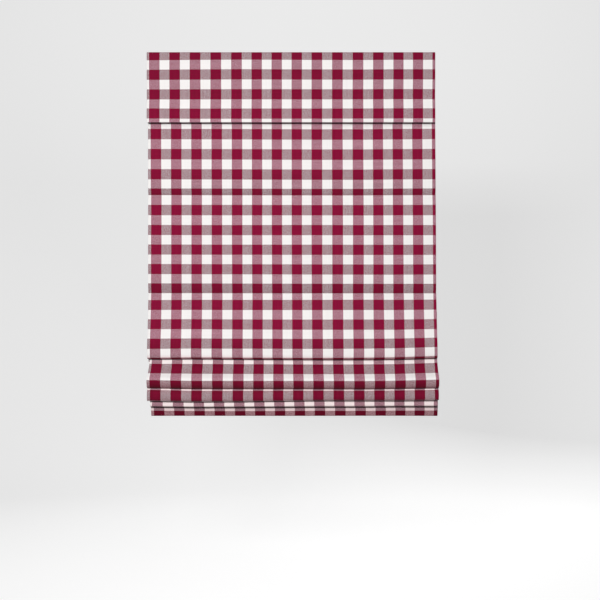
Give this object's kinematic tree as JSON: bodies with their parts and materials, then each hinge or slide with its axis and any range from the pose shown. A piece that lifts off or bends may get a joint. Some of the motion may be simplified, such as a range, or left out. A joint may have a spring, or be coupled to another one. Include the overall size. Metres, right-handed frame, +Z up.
{
  "type": "roman shade",
  "caption": "Roman shade of woven check cotton drawn part way up, with a flat valance over its head and a stack of soft hanging folds at its foot.",
  "frame": {"origin": "over the middle of the shade's top edge, at the middle of its cloth's thickness, level with the top of the valance", "axes": "+X to the right as seen from the front, +Y to the back, towards what the shade hangs on, +Z up"},
  "size_m": [0.7425, 0.0702, 0.9272],
  "materials": {
    "shade_cloth": "matt plain-weave cotton in a burgundy and white check",
    "valance_cloth": "matt plain-weave cotton in a burgundy and white check"
  },
  "bodies": {
    "root": {"shade": "shade_cloth", "valance": "valance_cloth"}
  },
  "joints": []
}
